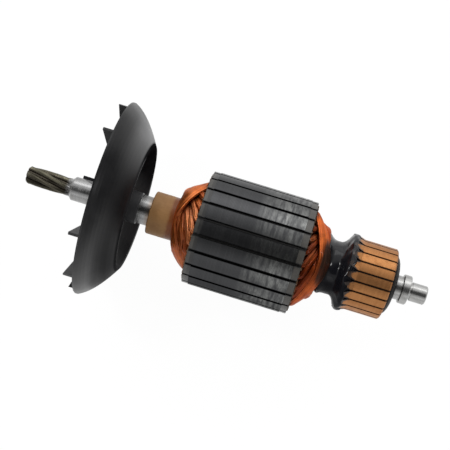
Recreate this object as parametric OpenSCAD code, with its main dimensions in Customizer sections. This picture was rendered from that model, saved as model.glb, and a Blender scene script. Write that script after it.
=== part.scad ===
// Wound armature of a universal motor: a shaft with a helical pinion, a cooling fan,
// a slotted lamination stack with its winding, and a commutator.
// Millimetres. The shaft lies along X, the pinion at -X and the commutator at +X,
// and the origin is the middle of the drive-end bearing seat.

/* [Shaft] */
// Number of teeth on the pinion
pinion_teeth = 6; // [5:1:8]
// Diameter over the tips of the pinion teeth
pinion_tip_d = 7; // [6.4:0.1:7.6]
// Depth of the spaces between the pinion teeth
pinion_tooth_h = 1.3; // [0.9:0.05:1.5]
// Length of the pinion teeth
pinion_l = 15.8; // [12:0.1:20]
// Helix angle of the pinion teeth at their tips, right hand
pinion_helix = 16; // [0:1:25]
// Length over which the tooth spaces run out into the bearing seat
runout_l = 2.3; // [1.5:0.1:4]
// Diameter of the drive-end bearing seat
seat_d = 9; // [8:0.1:9.5]
// Length of the drive-end bearing seat
seat_l = 10.4; // [7:0.1:14]
// Diameter of the shaft inside the fan
fan_seat_d = 10; // [9.6:0.1:10.4]
// Diameter of the shaft between the fan and the commutator
shaft_d = 11; // [10.5:0.1:12]
// Diameter of the shaft inside the commutator and the spacer collar
commutator_seat_d = 9; // [8:0.1:9.8]
// Diameter of the commutator-end journal
journal_d = 7; // [6:0.1:7.8]
// Length of the commutator-end journal
journal_l = 5.7; // [4:0.1:9]
// Depth of the relief groove beside the journal
groove_depth = 0.4; // [0.2:0.05:0.8]
// Width of the relief groove beside the journal
groove_w = 0.9; // [0.5:0.1:1.5]
// Chamfer on both ends of the shaft
end_chamfer = 0.4; // [0.2:0.05:0.8]

/* [Fan] */
// Diameter over the fan
fan_d = 74; // [62:1:92]
// Depth of the fan's bowl from its front rim to its back edge
fan_depth = 12; // [10:0.1:15]
// Diameter of the back edge round the recess
back_edge_d = 48.2; // [40:0.2:56]
// Wall of the moulding
fan_wall = 1.6; // [1.2:0.1:2]
// Number of blades
blades = 11; // [7:1:15]
// Thickness of a blade
blade_t = 1.1; // [0.8:0.1:1.8]
// Height of a blade's outer tip above the rim
blade_rise = 3.9; // [1:0.1:6]
// Slope of a blade's free edge towards the shaft
blade_slope = 17; // [12:1:32]
// Diameter of the fan's hub on the bearing side
hub_d = 15; // [13:0.2:18]
// Outer diameter of the hub's neck in the back recess
neck_d = 12; // [11.6:0.1:13]
// Length of the hub along the shaft
hub_l = 15.4; // [14:0.1:18]
// Set-back of the front rim behind the bearing shoulder
rim_setback = 2.2; // [0:0.1:3]
// Angle of the first blade round the shaft
blade_phase = 17.4; // [0:0.1:32]

/* [Insulating sleeve] */
// Outer diameter of the sleeve between the shaft and the lamination stack
sleeve_d = 16.2; // [13.4:0.1:17]
// Bare shaft between the fan and the sleeve
sleeve_gap = 4.5; // [2:0.1:8]
// Length of the sleeve in front of the stack
sleeve_front_l = 18.4; // [15:0.1:26]

/* [Lamination stack] */
// Outer diameter of the stack
core_d = 43; // [40:0.1:48]
// Length of the laminations
core_l = 35; // [25:0.1:60]
// Number of slots, which is also the number of commutator bars
slots = 22; // [18:1:24]
// Width of a slot's opening
slot_opening = 0.9; // [0.6:0.05:1.4]
// Width of a tooth
tooth_w = 2.5; // [2.1:0.05:2.8]
// Thickness of the tooth lips beside the opening
lip_t = 0.8; // [0.5:0.05:1.2]
// Diameter of the circle on which the slot floors lie
slot_floor_d = 24.2; // [23:0.1:26]
// Thickness of the fibre plate on each end
end_plate_t = 2.4; // [0.8:0.1:3]
// Outer diameter of the fibre plates
end_plate_d = 42.6; // [39:0.1:42.8]

/* [Winding] */
// Thickness of the slot liner
liner_t = 0.25; // [0.15:0.05:0.4]
// Length of liner that stands out of each end plate
liner_out = 0.5; // [0.2:0.1:0.9]
// Thickness of a slot wedge
wedge_t = 0.6; // [0.4:0.05:0.9]
// Length of the front end turns
front_turns_l = 9; // [7:0.1:11]
// Diameter of the front end turns beside the stack
front_turns_d = 34; // [30:0.5:38]
// Length of the rear end turns
rear_turns_l = 8.2; // [6:0.1:10]
// Diameter of the rear end turns beside the stack
rear_turns_d = 37.2; // [32:0.2:38]
// Diameter of the rear end turns where the resin takes over
rear_turns_end_d = 23.6; // [21:0.2:26]
// Number of wire bundles that show on each end
bundles = 11; // [8:1:22]
// Height of a bundle over the valleys beside it
bundle_h = 0.9; // [0.3:0.05:1.2]
// Turn of a bundle from the stack to the end of the end turns
bundle_turn = 75; // [20:1:100]

/* [Commutator] */
// Distance from the rear end plate to the commutator bars
commutator_gap = 16.3; // [15:0.1:24]
// Diameter of the brush track
track_d = 26.7; // [24:0.1:30]
// Length of a commutator bar
bar_l = 16.7; // [13:0.1:24]
// Width of the gap between two bars at the brush track
bar_gap = 0.5; // [0.4:0.05:0.9]
// Depth to which the gaps are undercut
undercut = 0.6; // [0.3:0.05:1]
// Radial thickness of a bar above its dovetail
bar_h = 2.4; // [1.8:0.1:3]
// Radial height of a bar's dovetail
dovetail_h = 2; // [1.4:0.1:2.4]
// Chamfer on the free end of the bars
bar_chamfer = 0.5; // [0.2:0.05:0.8]
// Width of the hook that holds a bar's leads, at its tip
hook_w = 1.5; // [1.2:0.1:2.4]
// Length of the hook along the shaft
hook_l = 3.9; // [2.8:0.1:4.2]
// Height of the hook's tip over the brush track
hook_h = 1.05; // [0.6:0.05:1.2]
// Length of the moulding past the bars
end_ring_l = 2.4; // [2:0.1:4]
// Outer diameter of the steel bush in the moulding
bush_d = 11.6; // [11:0.1:13]
// Angle of the first gap round the shaft
bar_phase = 2; // [0:0.1:16]

/* [Resin and collar] */
// Smallest diameter of the resin over the leads
resin_neck_d = 19.9; // [17.2:0.1:22]
// Thickness of the resin over the hooks
resin_cover = 0.3; // [0.2:0.05:1]
// Outer diameter of the spacer collar
collar_d = 10.9; // [10.2:0.1:13]
// Length of the spacer collar
collar_l = 3; // [2:0.1:5]
// Bare shaft between the commutator and the collar
collar_gap = 2.4; // [0.5:0.1:4]

/* [Hidden] */
$fn = 72;
// Clearance between pieces that slide over each other when the armature is put together
fit = 0.05;
// Shared overlap of shapes that are united
bite = 0.2;
// Chamfer on small turned rings
ring_chamfer = 0.3;

// Stations along the shaft
shoulder_x = seat_l / 2;
teeth_end_x = -seat_l / 2 - runout_l;
pinion_end_x = teeth_end_x - pinion_l;
hub_end_x = shoulder_x + hub_l;
rim_x = shoulder_x + rim_setback;
back_edge_x = rim_x + fan_depth;
sleeve_x = hub_end_x + sleeve_gap;
front_plate_x = sleeve_x + sleeve_front_l;
core_x = front_plate_x + end_plate_t;
rear_plate_x = core_x + core_l;
rear_face_x = rear_plate_x + end_plate_t;
bars_x = rear_face_x + commutator_gap;
bars_end_x = bars_x + bar_l;
moulding_lead = 1.1;
moulding_x = bars_x - moulding_lead;
moulding_end_x = bars_end_x + end_ring_l;
bush_inset = 0.4;
collar_x = moulding_end_x + collar_gap;
collar_end_x = collar_x + collar_l;
journal_x = collar_end_x + groove_w;
shaft_end_x = journal_x + journal_l;

function two_digits(k) = str(k < 10 ? "0" : "", k);

// ---------- shared shapes ----------

// Places a shape drawn along Z on the shaft axis, at a station and turned about the shaft.
module on_shaft(x, turn = 0) {
  translate([x, 0, 0]) rotate([0, 90, 0]) rotate([0, 0, turn]) children();
}

// A turned ring from station x0 to x1, with its outer edges chamfered.
module turned_ring(x0, x1, outer_d, bore_d, chamfer) {
  on_shaft(x0) rotate_extrude() polygon([
    [bore_d / 2, 0],
    [outer_d / 2 - chamfer, 0],
    [outer_d / 2, chamfer],
    [outer_d / 2, x1 - x0 - chamfer],
    [outer_d / 2 - chamfer, x1 - x0],
    [bore_d / 2, x1 - x0]
  ]);
}

// A point at t on the curve from p0 to p2 that leaves and arrives along the lines through p1.
function blend(p0, p1, p2, t) = (1 - t) * (1 - t) * p0 + 2 * t * (1 - t) * p1 + t * t * p2;

// The unit normal of that curve, on its left.
function blend_normal(p0, p1, p2, t) =
  let (d = (1 - t) * (p1 - p0) + t * (p2 - p1)) [-d[1], d[0]] / norm(d);

// Points on the curve, moved off it by a distance to the left.
function blend_points(p0, p1, p2, steps, off = 0) = [
  for (i = [0 : steps])
    blend(p0, p1, p2, i / steps) + off * blend_normal(p0, p1, p2, i / steps)
];

function reversed(list) = [for (i = [len(list) - 1 : -1 : 0]) list[i]];

// ---------- shaft ----------

// Involute of a base circle, after the string has unrolled by an angle.
function involute(base_r, a) =
  base_r * [cos(a) + a * PI / 180 * sin(a), sin(a) - a * PI / 180 * cos(a)];

// Angle of unrolling at which the involute reaches a radius.
function unroll(base_r, r) = sqrt(max(0, pow(r / base_r, 2) - 1)) * 180 / PI;

// The outline of one tooth: up one involute flank, over the tip and down the other.
function tooth(root_r, base_r, tip_r, half_angle) =
  let (
    flank = [
      for (i = [0 : 3])
        let (p = involute(base_r, unroll(base_r, base_r + (tip_r - base_r) * i / 3)))
          [norm(p), atan2(p[1], p[0])]
    ],
    right = concat([[root_r, 0]], flank)
  ) concat(
    [for (p = right) [p[0], p[1] - half_angle]],
    [for (p = reversed(right)) [p[0], half_angle - p[1]]]
  );

// The helical teeth of the pinion, which end inside the run-out cone.
module pinion_gear() {
  tip_r = pinion_tip_d / 2;
  root_r = tip_r - pinion_tooth_h;
  base_r = root_r + 0.15;
  tooth_half_angle = 0.37 * 360 / pinion_teeth;
  gear_l = pinion_l + runout_l * 0.7;
  turn = tan(pinion_helix) * gear_l / tip_r * 180 / PI;
  outline = [
    for (k = [0 : pinion_teeth - 1]) for (p = tooth(root_r, base_r, tip_r, tooth_half_angle))
      p[0] * [cos(p[1] + k * 360 / pinion_teeth), sin(p[1] + k * 360 / pinion_teeth)]
  ];
  intersection() {
    on_shaft(pinion_end_x) linear_extrude(height = gear_l, twist = -turn, slices = 16)
      polygon(outline);
    on_shaft(pinion_end_x) rotate_extrude() polygon([
      [0, 0],
      [tip_r - 2 * end_chamfer, 0],
      [tip_r + bite, 2 * end_chamfer + bite],
      [tip_r + bite, gear_l + 1],
      [0, gear_l + 1]
    ]);
  }
}

module armature_shaft() {
  root_r = pinion_tip_d / 2 - pinion_tooth_h;
  color("silver") union() {
    pinion_gear();
    on_shaft(teeth_end_x - bite)
      cylinder(h = runout_l + bite, r1 = root_r - bite, r2 = seat_d / 2);
    on_shaft(-seat_l / 2) cylinder(h = seat_l + bite, d = seat_d);
    on_shaft(shoulder_x) cylinder(h = hub_l + bite, d = fan_seat_d);
    on_shaft(hub_end_x) cylinder(h = moulding_x - hub_end_x, d = shaft_d);
    on_shaft(moulding_x - bite) cylinder(h = collar_end_x - moulding_x + bite, d = commutator_seat_d);
    on_shaft(collar_end_x - bite) cylinder(h = groove_w + 2 * bite, d = journal_d - 2 * groove_depth);
    on_shaft(journal_x) cylinder(h = journal_l - end_chamfer, d = journal_d);
    on_shaft(shaft_end_x - end_chamfer)
      cylinder(h = end_chamfer, d1 = journal_d, d2 = journal_d - 2 * end_chamfer);
  }
}

// ---------- fan ----------

// The bowl's outer surface, from the rim to the back edge, as radius and station.
rim_band = 0.6;
bowl_rim = [fan_d / 2, rim_x + rim_band];
bowl_edge = [back_edge_d / 2, back_edge_x];
bowl_pull = [fan_d / 2 - 2.4, rim_x + 0.48 * fan_depth];
bowl_steps = 10;

// The recess behind the bowl, from the inside of the back edge to the foot of the neck.
recess_edge = [back_edge_d / 2 - fan_wall, back_edge_x - 0.2];
recess_foot = [neck_d / 2 + 1.2, back_edge_x - 7.6];
recess_pull = [neck_d / 2 + 8.5, back_edge_x - 6.9];
recess_steps = 8;

// The wall of the bowl and its recess in section, with the hub.
module fan_section() {
  neck_r = neck_d / 2;
  bore_r = fan_seat_d / 2;
  front_bowl = blend_points(bowl_rim, bowl_pull, bowl_edge, bowl_steps, fan_wall);
  front_recess = blend_points(recess_edge, recess_pull, recess_foot, recess_steps, fan_wall);
  polygon(concat(
    [[fan_d / 2 - fan_wall, rim_x], [fan_d / 2, rim_x]],
    blend_points(bowl_rim, bowl_pull, bowl_edge, bowl_steps),
    blend_points(recess_edge, recess_pull, recess_foot, recess_steps),
    [
      [neck_r + 0.35, recess_foot[1] + 0.4],
      [neck_r, recess_foot[1] + 1.4],
      [neck_r, hub_end_x - 0.3],
      [neck_r - 0.3, hub_end_x],
      [bore_r, hub_end_x],
      [bore_r, shoulder_x],
      [hub_d / 2 - 0.4, shoulder_x],
      [hub_d / 2, shoulder_x + 0.4],
      [hub_d / 2, front_recess[recess_steps][1] - 0.3]
    ],
    reversed([for (p = front_recess) if (p[0] > hub_d / 2 + 0.3 && p[0] < recess_edge[0] - 1) p]),
    reversed([for (p = front_bowl) if (p[0] > recess_edge[0] + 0.2 && p[1] > rim_x + rim_band) p])
  ));
}

// A blade in section: a plate that stands on the front of the wall and rises past the rim.
module blade_section() {
  tip_r = fan_d / 2 - fan_wall + bite;
  root_bowl = blend_points(bowl_rim, bowl_pull, bowl_edge, bowl_steps, fan_wall / 2);
  root_recess = blend_points(recess_edge, recess_pull, recess_foot, recess_steps, fan_wall / 2);
  root = concat(
    [for (p = root_bowl) if (p[0] < tip_r && p[0] > recess_edge[0] + 0.2) p],
    [for (p = root_recess) if (p[0] < recess_edge[0] - 0.6) p]
  );
  tip_x = rim_x - blade_rise;
  inner = [for (p = root) if (p[1] > tip_x + (tip_r - p[0]) * tan(blade_slope) + 0.2) p];
  last = inner[len(inner) - 1];
  polygon(concat(
    [[last[0], tip_x + (tip_r - last[0]) * tan(blade_slope)], [tip_r, tip_x], [tip_r, rim_x + rim_band]],
    inner
  ));
}

module cooling_fan() {
  color("#2b2d30") union() {
    on_shaft(0) rotate_extrude() fan_section();
    for (k = [0 : blades - 1])
      on_shaft(0, blade_phase + k * 360 / blades)
        translate([0, blade_t / 2, 0]) rotate([90, 0, 0]) linear_extrude(height = blade_t)
          blade_section();
  }
}

// ---------- core ----------

// Half the width of a slot at a distance from the shaft axis, between two straight teeth.
function slot_half_w(r) = r * tan(180 / slots) - tooth_w / 2 / cos(180 / slots);

// Distance from the shaft axis to the underside of the lips.
lip_r = core_d / 2 - lip_t;
slot_top_r = lip_r - 0.5;
floor_r = slot_floor_d / 2;

// A slot's trapezoid between two radii, with its sides moved in by an inset.
function slot_trapezoid(r0, r1, inset) = [
  [r0, -slot_half_w(r0) + inset],
  [r1, -slot_half_w(r1) + inset],
  [r1, slot_half_w(r1) - inset],
  [r0, slot_half_w(r0) - inset]
];

// The whole slot: its trapezoid, the slanted undersides of the lips and the opening.
module slot_outline() {
  w = slot_half_w(slot_top_r);
  polygon([
    [floor_r, -slot_half_w(floor_r)],
    [slot_top_r, -w],
    [lip_r, -slot_opening / 2],
    [core_d / 2 + 1, -slot_opening / 2],
    [core_d / 2 + 1, slot_opening / 2],
    [lip_r, slot_opening / 2],
    [slot_top_r, w],
    [floor_r, slot_half_w(floor_r)]
  ]);
}

// One slotted sheet of the core, as a flat shape.
module slotted_sheet(outer_d) {
  difference() {
    circle(d = outer_d);
    circle(d = sleeve_d);
    for (k = [0 : slots - 1]) rotate(k * 360 / slots) slot_outline();
  }
}

module lamination_stack() {
  color("#5c636b") on_shaft(core_x) linear_extrude(height = core_l) slotted_sheet(core_d);
}

module end_plate(x) {
  color("#8d928a") on_shaft(x) linear_extrude(height = end_plate_t) slotted_sheet(end_plate_d);
}

module front_end_plate() { end_plate(front_plate_x); }

module rear_end_plate() { end_plate(rear_plate_x); }

module shaft_insulating_sleeve() {
  color("#b09063") turned_ring(sleeve_x, moulding_x, sleeve_d, shaft_d, ring_chamfer);
}

// Radii that the liner, the winding and the wedge share inside a slot.
liner_floor_r = floor_r + fit;
copper_floor_r = liner_floor_r + liner_t + fit;
wedge_top_r = slot_top_r - fit;
wedge_floor_r = wedge_top_r - wedge_t;
copper_top_r = wedge_floor_r - fit;
copper_inset = fit + liner_t + fit;

// A folded paper liner in every slot, open towards the wedge.
module slot_liners() {
  color("#d8c9a3") for (k = [0 : slots - 1])
    on_shaft(front_plate_x - liner_out, k * 360 / slots)
      linear_extrude(height = rear_face_x - front_plate_x + 2 * liner_out) difference() {
        polygon(slot_trapezoid(liner_floor_r, wedge_top_r, fit));
        polygon(slot_trapezoid(liner_floor_r + liner_t, slot_top_r + 1, fit + liner_t));
      }
}

module slot_wedge(k) {
  color("#3b3226") on_shaft(front_plate_x, (k - 1) * 360 / slots)
    linear_extrude(height = rear_face_x - front_plate_x)
      polygon(slot_trapezoid(wedge_floor_r, wedge_top_r, copper_inset));
}

// ---------- winding ----------

// End turns: rings of points round the shaft, from the stack to the far end and back along
// the sleeve. The facets follow the bundles, which turn by whole columns from ring to ring.
module end_turns(p0, p1, p2, inner_r, start_s) {
  rows = 9;
  cols = 8 * bundles;
  step = 360 / cols;
  shift = round(bundle_turn / rows / step);
  outer = [
    for (j = [0 : rows]) let (t = j / rows, p = blend(p0, p1, p2, t))
      [p[0], max(start_s, p[1]), bundle_h / 2 * sin(180 * min(1, t + 0.25)), -shift * step * j]
  ];
  inner = [[inner_r, outer[rows][1], 0, 0], [inner_r, start_s, 0, 0]];
  rings = concat(outer, inner);
  n = len(rings);
  points = [
    for (ring = rings) for (k = [0 : cols - 1])
      let (a = k * step, r = ring[0] + ring[2] * (cos((a - ring[3]) * bundles) - 1))
        [r * cos(a), r * sin(a), ring[1]]
  ];
  faces = [
    for (j = [0 : n - 1]) for (k = [0 : cols - 1])
      let (
        s = j < rows ? cols - shift : 0,
        a = j * cols + k,
        b = j * cols + (k + 1) % cols,
        c = (j + 1) % n * cols + (k + 1 + s) % cols,
        d = (j + 1) % n * cols + (k + s) % cols
      ) each [[a, c, b], [a, d, c]]
  ];
  polyhedron(points = points, faces = faces);
}

// Copper that leaves the slots: the end turns start clear of the liners' ends.
turns_start = liner_out + 0.3;
turns_bore_r = sleeve_d / 2 + 0.1;
rear_turns_end_x = rear_face_x + rear_turns_l;

module front_end_turns() {
  on_shaft(front_plate_x) mirror([0, 0, 1]) end_turns(
    [front_turns_d / 2, 0],
    [front_turns_d / 2 - 4, front_turns_l * 0.93],
    [sleeve_d / 2 + 0.6, front_turns_l],
    turns_bore_r, turns_start
  );
}

module rear_end_turns() {
  on_shaft(rear_face_x) end_turns(
    [rear_turns_d / 2, 0],
    [rear_turns_d / 2 - 3.6, rear_turns_l * 0.6],
    [rear_turns_end_d / 2, rear_turns_l],
    turns_bore_r, turns_start
  );
}

// The copper in one slot, which reaches into the end turns at both ends.
module slot_copper() {
  reach = turns_start + 0.6;
  hull() on_shaft(front_plate_x - reach) linear_extrude(height = rear_face_x - front_plate_x + 2 * reach)
    polygon(slot_trapezoid(copper_floor_r, copper_top_r, copper_inset));
}

module armature_winding() {
  color("#b8622c") union() {
    front_end_turns();
    rear_end_turns();
    for (k = [0 : slots - 1]) rotate([k * 360 / slots, 0, 0]) slot_copper();
  }
}

// ---------- commutator ----------

track_r = track_d / 2;
bar_floor_r = track_r - bar_h;
dovetail_r = bar_floor_r - dovetail_h;
lead_ring_r = bar_floor_r - 0.3;
end_ring_r = track_r - 1.9;
// Distances from a bar's ends to the root and to the tip of its dovetail
bar_neck = 3;
bar_flare = 1.6;
// Distance from a bar's end to the tip of its hook, and the level length of that tip
hook_setback = 0.2;
hook_tip_l = 0.6;
// Distance from a hook's tip to where it is as wide as its bar
hook_spread_l = hook_l * 0.66;
gap_angle = bar_gap / track_r * 180 / PI;
bar_angle = 360 / slots - gap_angle;

// The shape of a bar in section: a straight top and a dovetail under it.
module bar_section() {
  polygon([
    [track_r, 0],
    [track_r, bar_l - bar_chamfer],
    [track_r - bar_chamfer, bar_l],
    [bar_floor_r, bar_l],
    [bar_floor_r, bar_l - bar_neck],
    [dovetail_r, bar_l - bar_flare],
    [dovetail_r, bar_flare],
    [bar_floor_r, bar_neck],
    [bar_floor_r, 0]
  ]);
}

// A bar without its hook. The bars stand between the gaps.
module bar_body(k) {
  on_shaft(bars_x, bar_phase + (k - 1) * 360 / slots + gap_angle / 2)
    rotate_extrude(angle = bar_angle) bar_section();
}

// The hook at the lead end of a bar: a tongue that widens and falls away to the track.
module bar_hook(k) {
  foot_w = 2 * track_r * sin(bar_angle / 2) - 0.2;
  on_shaft(bars_x + hook_setback, bar_phase + (k - 0.5) * 360 / slots) intersection() {
    rotate([90, 0, 0]) linear_extrude(height = foot_w + 1, center = true) polygon([
      [track_r - bite, 0],
      [track_r + hook_h, 0],
      [track_r + hook_h, hook_tip_l],
      [track_r - 0.1, hook_l],
      [track_r - bite, hook_l]
    ]);
    translate([track_r - 1, 0, 0]) rotate([90, 0, 90]) linear_extrude(height = hook_h + 2) polygon([
      [-hook_w / 2, -1],
      [hook_w / 2, -1],
      [hook_w / 2, 0],
      [foot_w / 2, hook_spread_l],
      [foot_w / 2, hook_l + 1],
      [-foot_w / 2, hook_l + 1],
      [-foot_w / 2, hook_spread_l],
      [-hook_w / 2, 0]
    ]);
  }
}

module commutator_bar(k) {
  color("#b98550") union() {
    bar_body(k);
    bar_hook(k);
  }
}

// The moulding without the strips between the bars, in section.
module moulding_section() {
  end = moulding_lead + bar_l;
  polygon(concat(
    [
      [bush_d / 2, 0],
      [lead_ring_r, 0],
      [lead_ring_r, moulding_lead],
      [bar_floor_r, moulding_lead],
      [bar_floor_r, moulding_lead + bar_neck],
      [dovetail_r, moulding_lead + bar_flare],
      [dovetail_r, end - bar_flare],
      [bar_floor_r, end - bar_neck],
      [bar_floor_r, end]
    ],
    blend_points([end_ring_r, end], [end_ring_r - 1, end + end_ring_l - 0.5],
      [bush_d / 2 + 0.5, end + end_ring_l], 5),
    [[bush_d / 2, end + end_ring_l]]
  ));
}

// The strip of moulding in the gap before bar k, undercut below the brush track.
module gap_strip(k) {
  top_r = track_r - undercut;
  end = moulding_lead + bar_l;
  on_shaft(moulding_x, bar_phase + (k - 1) * 360 / slots - gap_angle / 2)
    rotate_extrude(angle = gap_angle) polygon([
      [dovetail_r - bite, moulding_lead + fit],
      [top_r, moulding_lead + fit],
      [top_r, end - bar_chamfer],
      [end_ring_r - 0.1, end + fit],
      [dovetail_r - bite, end + fit]
    ]);
}

module commutator_moulding() {
  color("#26262a") union() {
    on_shaft(moulding_x) rotate_extrude() moulding_section();
    for (k = [1 : slots]) gap_strip(k);
  }
}

module commutator_bush() {
  color("#9a9da0")
    turned_ring(moulding_x, moulding_end_x - bush_inset, bush_d, commutator_seat_d, ring_chamfer);
}

// ---------- resin and collar ----------

// Varnished resin over the leads. It fills the pockets between the hooks.
resin_x = rear_turns_end_x + fit;
resin_neck_l = 2;
// Where the flare ends, how far below the cover, and how far the pockets reach over the bars
flare_setback = 1.2;
flare_drop = 2.1;
pocket_l = 2.8;

module lead_resin() {
  neck_r = resin_neck_d / 2;
  cover_r = track_r + hook_h + resin_cover;
  flare_x = bars_x - flare_setback;
  neck_x = resin_x + resin_neck_l;
  color("#1c1d21") difference() {
    on_shaft(0) rotate_extrude() polygon(concat(
      [[sleeve_d / 2, resin_x]],
      blend_points([rear_turns_end_d / 2, resin_x], [neck_r, resin_x + 0.4 * resin_neck_l],
        [neck_r, neck_x], 5),
      blend_points([neck_r, neck_x + 0.6], [neck_r + 1, flare_x - 1.2],
        [cover_r - flare_drop, flare_x], 6),
      [
        [cover_r - 0.4, bars_x - 0.4],
        [cover_r, bars_x],
        [cover_r, bars_x + 0.35],
        [track_r + 0.5, bars_x + 0.3 * pocket_l],
        [track_r + 0.15, bars_x + 0.8 * pocket_l],
        [track_r + 0.06, bars_x + pocket_l],
        [track_r, bars_x + pocket_l],
        [track_r, bars_x],
        [lead_ring_r, bars_x],
        [lead_ring_r, moulding_x],
        [sleeve_d / 2, moulding_x]
      ]
    ));
    for (k = [1 : slots]) bar_hook(k);
  }
}

module spacer_collar() {
  color("gainsboro") turned_ring(collar_x, collar_end_x, collar_d, commutator_seat_d, ring_chamfer);
}

// ---------- the nodes ----------

armature_shaft();
cooling_fan();
shaft_insulating_sleeve();
lamination_stack();
front_end_plate();
rear_end_plate();
slot_liners();
armature_winding();
lead_resin();
commutator_moulding();
commutator_bush();
spacer_collar();
for (k = [1 : slots]) {
  slot_wedge(k);
  commutator_bar(k);
}
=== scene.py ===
"""Finish of a wound armature: modelled end windings and resin, and a material for every piece.

The shaft lies along X, with the pinion at -X and the commutator at +X. Lengths are in metres,
and the patterns in the materials are worked out in millimetres.
"""

import math

import bpy
import numpy as np
from mathutils import Matrix, Vector


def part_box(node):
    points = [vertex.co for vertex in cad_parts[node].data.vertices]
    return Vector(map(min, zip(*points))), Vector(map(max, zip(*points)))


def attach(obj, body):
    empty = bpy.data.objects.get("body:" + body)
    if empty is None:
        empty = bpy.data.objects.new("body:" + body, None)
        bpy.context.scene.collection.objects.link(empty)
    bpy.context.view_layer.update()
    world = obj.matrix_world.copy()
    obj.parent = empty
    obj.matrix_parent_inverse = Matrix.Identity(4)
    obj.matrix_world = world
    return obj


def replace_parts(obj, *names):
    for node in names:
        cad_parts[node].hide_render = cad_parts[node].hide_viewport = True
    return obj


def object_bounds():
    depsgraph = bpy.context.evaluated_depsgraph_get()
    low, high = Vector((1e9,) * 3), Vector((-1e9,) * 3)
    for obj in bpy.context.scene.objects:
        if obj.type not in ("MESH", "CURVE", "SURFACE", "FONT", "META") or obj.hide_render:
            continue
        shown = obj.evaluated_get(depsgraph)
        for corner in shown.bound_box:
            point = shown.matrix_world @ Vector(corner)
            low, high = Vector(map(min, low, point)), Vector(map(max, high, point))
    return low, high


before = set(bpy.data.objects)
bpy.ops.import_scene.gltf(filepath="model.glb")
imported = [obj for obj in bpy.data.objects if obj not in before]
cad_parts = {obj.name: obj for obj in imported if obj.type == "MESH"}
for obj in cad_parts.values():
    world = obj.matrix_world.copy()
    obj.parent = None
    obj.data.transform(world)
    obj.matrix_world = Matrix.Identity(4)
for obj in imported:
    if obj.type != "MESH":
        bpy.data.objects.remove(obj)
cad_box = [list(corner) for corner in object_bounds()]

MM = 0.001
SLOTS = 22
SLOT_PITCH = 2 * math.pi / SLOTS


def extent(node):
    """The first and last station of a node along the shaft, and its outer radius, in millimetres."""
    low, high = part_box(node)
    return low.x / MM, high.x / MM, high.z / MM


STACK_START, STACK_END, STACK_R = extent("lamination_stack")
# The sheets in a millimetre of the stack, and the angle round it at which the painted reflection is weakest
SHEETS_IN_MM = 2.0
WEAK_REFLECTION_ANGLE = 2.75
FRONT_FACE = extent("front_end_plate")[0]
REAR_FACE = extent("rear_end_plate")[1]
SLEEVE_START, _, SLEEVE_R = extent("shaft_insulating_sleeve")
LIP_R = extent("lead_resin")[2]
BARS_START = extent("commutator_bar_01")[0]
COLLAR_START = extent("spacer_collar")[0]
FAN_END = extent("cooling_fan")[1]
# The inner radius of what is wound and poured round the sleeve
BORE_R = SLEEVE_R + 0.1
# The radii at which the fan's back turns in to its recess, and of its hub
RECESS_R = 24.1
HUB_R = 9.5
# The pockets of resin between the hooks reach this far over the bars, whose brush track lies lower
POCKET = 2.8
TRACK_R = LIP_R - 1.35
# Where the pinion's tooth spaces run out, and the radii of its teeth and between them
SEAT_START = -7.5
TOOTH_R, ROOT_R = 3.42, 2.55
# The angle of the first gap between bars
BAR_PHASE = math.radians(2.0)

# The resin's profile from the rear end turns to the pockets: station, radius, and how uneven it is there.
# The neck's stations count from the rear plate's face, and the lip's from the start of the bars.
NECK = [
    (6.6, 10.5, 0.2),
    (6.9, 12.4, 0.5),
    (7.4, 12.8, 0.6),
    (8.1, 12.2, 0.6),
    (8.9, 11.1, 0.6),
    (9.7, 10.3, 0.6),
    (10.6, 10.05, 0.7),
    (11.6, 10.0, 0.8),
    (12.6, 10.0, 0.8),
    (13.4, 10.15, 0.9),
    (14.1, 10.7, 1.0),
    (14.7, 11.6, 1.0),
    (15.2, 12.7, 1.0),
]
LIP = [
    (-0.5, 13.6, 1.0),
    (0.0, 14.3, 0.9),
    (0.6, 14.45, 0.8),
    (1.1, 14.4, 0.8),
    (1.5, 14.2, 0.7),
    (1.7, 13.9, 0.5),
    (1.9, TRACK_R + 0.42, 0.1),
    (2.2, TRACK_R + 0.16, 0.05),
    (POCKET, TRACK_R + 0.04, 0.0),
]
RESIN_PROFILE = np.concatenate([np.add(NECK, (REAR_FACE, 0, 0)), np.add(LIP, (BARS_START, 0, 0))])
# How far the resin's lumps stand out and shift it along the shaft
LUMP_HEIGHT, LUMP_SHIFT = 0.38, 0.3


# ---------- meshes ----------


def direction(angle):
    """Unit vectors across the shaft: angle 0 points down, and a quarter turn points along +Y."""
    angle = np.asarray(angle, float)
    return np.stack([np.zeros_like(angle), np.sin(angle), -np.cos(angle)], -1)


def curve_through(p0, p1, p2, t):
    """The quadratic curve (1-t)^2 p0 + 2t(1-t) p1 + t^2 p2 for every t, one row a point."""
    t = np.asarray(t, float)[..., None]
    return (1 - t) ** 2 * np.array(p0) + 2 * t * (1 - t) * np.array(p1) + t**2 * np.array(p2)


def smooth_step(x):
    """0 below 0, 1 above 1, and 3x^2 - 2x^3 between."""
    x = np.clip(x, 0, 1)
    return x * x * (3 - 2 * x)


def unit(v):
    """Vectors scaled to length 1 along the last axis."""
    return v / np.maximum(np.linalg.norm(v, axis=-1, keepdims=True), 1e-12)


def grid_faces(rings, points):
    """Quads between neighbouring rings of points, where each ring closes on itself."""
    first = np.arange(rings - 1)[:, None] * points
    here = first + np.arange(points)
    after = first + (np.arange(points) + 1) % points
    return np.stack([here, after, after + points, here + points], -1).reshape(-1, 4)


def closed_grid_faces(rings, points):
    """Quads of a grid whose last ring joins its first."""
    return grid_faces(rings + 1, points) % (rings * points)


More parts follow.
